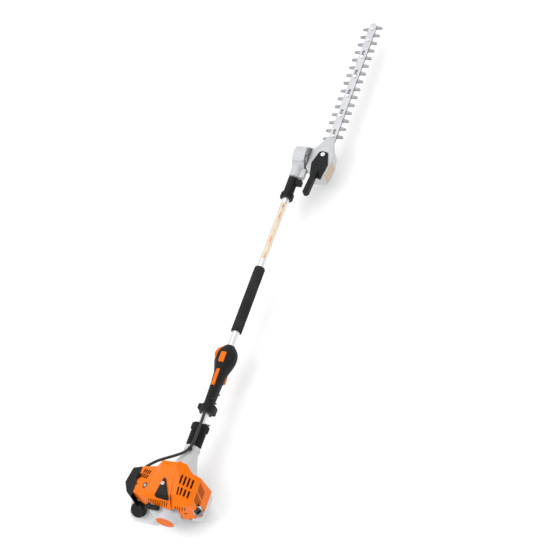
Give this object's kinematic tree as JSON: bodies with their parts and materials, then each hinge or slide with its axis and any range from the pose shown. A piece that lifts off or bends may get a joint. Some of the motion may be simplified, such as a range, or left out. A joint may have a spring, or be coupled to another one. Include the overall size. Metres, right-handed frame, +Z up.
{
  "type": "pole hedge trimmer",
  "caption": "Petrol engine, straight pole with loop-free control handle and foam grip, and a tilting gearbox driving a double-sided reciprocating cutter bar.",
  "frame": {"origin": "on the pole's axis, at the middle of the foam grip", "axes": "+X along the pole toward the cutter, +Y to the operator's left, +Z up toward the top of the engine"},
  "size_m": [1.9436, 0.2628, 0.2103],
  "materials": {
    "orange_plastic": "moulded orange plastic, satin gloss",
    "black_plastic": "fine-textured black plastic",
    "grey_casting": "light grey powder-coated die casting",
    "alloy": "satin aluminium",
    "cast_alloy": "raw die-cast aluminium",
    "steel": "ground steel",
    "dark_steel": "hardened dark steel",
    "rubber": "black rubber",
    "foam": "closed-cell foam rubber",
    "tank_plastic": "translucent natural polyethylene",
    "filter_felt": "pleated felt",
    "ceramic": "glazed insulator and black boot",
    "bronze": "sintered bronze",
    "silver_screw": "zinc-plated steel"
  },
  "bodies": {
    "powerhead": {"clutch_housing": "grey_casting", "av_boot": "rubber", "crankcase": "cast_alloy", "cylinder": "cast_alloy", "ignition_module": "black_plastic", "spark_plug": "ceramic", "carburettor": "cast_alloy", "air_filter": "filter_felt", "filter_base": "black_plastic", "filter_cover": "black_plastic", "muffler": "dark_steel", "engine_shroud": "orange_plastic", "muffler_cover": "orange_plastic", "shroud_latch": "black_plastic", "shroud_screws": "silver_screw", "starter_housing": "grey_casting", "starter_vent": "orange_plastic", "fuel_tank": "tank_plastic", "base_foot": "grey_casting", "drive_tube": "alloy", "shaft_bushes": "bronze", "foam_grip": "foam", "tube_screw": "silver_screw", "handle_shell_left": "black_plastic", "handle_shell_right": "black_plastic", "handle_clamp": "black_plastic", "handle_pins": "steel", "handle_screws": "silver_screw", "throttle_cable": "rubber", "arm_housing": "grey_casting", "pinion_bearing": "steel"},
    "crank": {"crankshaft": "steel", "flywheel_fan": "cast_alloy", "clutch_shoes": "steel"},
    "piston_set": {"piston": "cast_alloy", "connecting_rod": "cast_alloy"},
    "drive_line": {"clutch_drum": "steel", "drive_shaft": "steel", "drive_pinion": "steel"},
    "bevel_shaft": {"bevel_shaft": "steel"},
    "cutter_head": {"gearbox_housing": "grey_casting", "gearbox_cover": "black_plastic", "pivot_lever": "black_plastic", "hinge_quadrant": "steel", "guide_bar": "alloy", "head_bolts": "silver_screw"},
    "crank_gear": {"crank_gear": "steel"},
    "upper_blade": {"upper_blade": "steel"},
    "lower_blade": {"lower_blade": "steel"},
    "lock_sleeve": {"arm_sleeve": "black_plastic", "lock_bolt": "steel"},
    "throttle_trigger": {"throttle_trigger": "orange_plastic"},
    "lock_lever": {"lock_lever": "orange_plastic"},
    "stop_switch": {"stop_switch": "orange_plastic"},
    "speed_wheel": {"speed_wheel": "orange_plastic"},
    "starter_grip": {"starter_grip": "black_plastic"},
    "recoil_pulley": {"recoil_pulley": "black_plastic"},
    "fuel_cap": {"fuel_cap": "black_plastic"},
    "choke_knob": {"choke_knob": "black_plastic"},
    "purge_bulb": {"purge_bulb": "rubber"}
  },
  "joints": [
    {"name": "crank_spin", "type": "hinge", "parent": "powerhead", "child": "crank", "pos_m": [-0.7, 0, 0], "axis": [1, 0, 0], "continuous": true},
    {"name": "piston_slide", "type": "slide", "parent": "powerhead", "child": "piston_set", "axis": [0, 0, 1], "range_m": [-0.024, 0]},
    {"name": "drive_spin", "type": "hinge", "parent": "powerhead", "child": "drive_line", "pos_m": [0, 0, 0], "axis": [1, 0, 0], "continuous": true},
    {"name": "bevel_spin", "type": "hinge", "parent": "powerhead", "child": "bevel_shaft", "pos_m": [0.556, 0, 0], "axis": [0, 1, 0], "continuous": true},
    {"name": "head_tilt", "type": "hinge", "parent": "powerhead", "child": "cutter_head", "pos_m": [0.556, 0, 0], "axis": [0, 1, 0], "range_deg": [-72, 72]},
    {"name": "crank_gear_spin", "type": "hinge", "parent": "cutter_head", "child": "crank_gear", "pos_m": [0.556, -0.075, 0], "axis": [0, 0, 1], "continuous": true},
    {"name": "upper_blade_slide", "type": "slide", "parent": "cutter_head", "child": "upper_blade", "axis": [1, 0, 0], "range_m": [-0.0085, 0.0085]},
    {"name": "lower_blade_slide", "type": "slide", "parent": "cutter_head", "child": "lower_blade", "axis": [1, 0, 0], "range_m": [-0.0085, 0.0085]},
    {"name": "lock_sleeve_slide", "type": "slide", "parent": "powerhead", "child": "lock_sleeve", "axis": [-1, 0, 0], "range_m": [-0.0046, 0]},
    {"name": "trigger_pull", "type": "hinge", "parent": "powerhead", "child": "throttle_trigger", "pos_m": [-0.25, 0, -0.018], "axis": [0, 1, 0], "range_deg": [0, 18], "stiffness_Nm_per_rad": 0.15, "springref_deg": -20.05},
    {"name": "lock_lever_press", "type": "hinge", "parent": "powerhead", "child": "lock_lever", "pos_m": [-0.268, 0, 0.018], "axis": [0, 1, 0], "range_deg": [-6, 0], "stiffness_Nm_per_rad": 0.15, "springref_deg": 20.05},
    {"name": "stop_switch_press", "type": "slide", "parent": "powerhead", "child": "stop_switch", "axis": [0, 0, -1], "range_m": [0, 0.002], "stiffness_N_per_m": 800, "springref_m": -0.002},
    {"name": "speed_wheel_turn", "type": "hinge", "parent": "powerhead", "child": "speed_wheel", "pos_m": [-0.211, 0.008, 0], "axis": [0, 0, 1], "range_deg": [-60, 60]},
    {"name": "starter_pull", "type": "slide", "parent": "powerhead", "child": "starter_grip", "axis": [-0.6, 0, 0.8], "range_m": [0, 0.7], "stiffness_N_per_m": 15, "springref_m": -0.2},
    {"name": "recoil_pulley_turn", "type": "hinge", "parent": "powerhead", "child": "recoil_pulley", "pos_m": [-0.764, 0, 0], "axis": [1, 0, 0], "continuous": true},
    {"name": "fuel_cap_turn", "type": "hinge", "parent": "powerhead", "child": "fuel_cap", "pos_m": [-0.733, 0.116, -0.0516], "axis": [-0.5493, 0, 0.8356], "range_deg": [0, 90]},
    {"name": "choke_turn", "type": "hinge", "parent": "powerhead", "child": "choke_knob", "pos_m": [-0.674, 0.1063, 0.0553], "axis": [0, 0.4251, 0.9052], "range_deg": [0, 50]},
    {"name": "purge_press", "type": "slide", "parent": "powerhead", "child": "purge_bulb", "axis": [1, 0, 0], "range_m": [0, 0.004], "stiffness_N_per_m": 600, "springref_m": -0.002}
  ],
  "couplings": [
    {"joint": "bevel_spin", "follows": "drive_spin", "ratio": -0.66667},
    {"joint": "crank_gear_spin", "follows": "drive_spin", "ratio": -0.22222},
    {"joint": "lower_blade_slide", "follows": "upper_blade_slide", "ratio": -1}
  ]
}
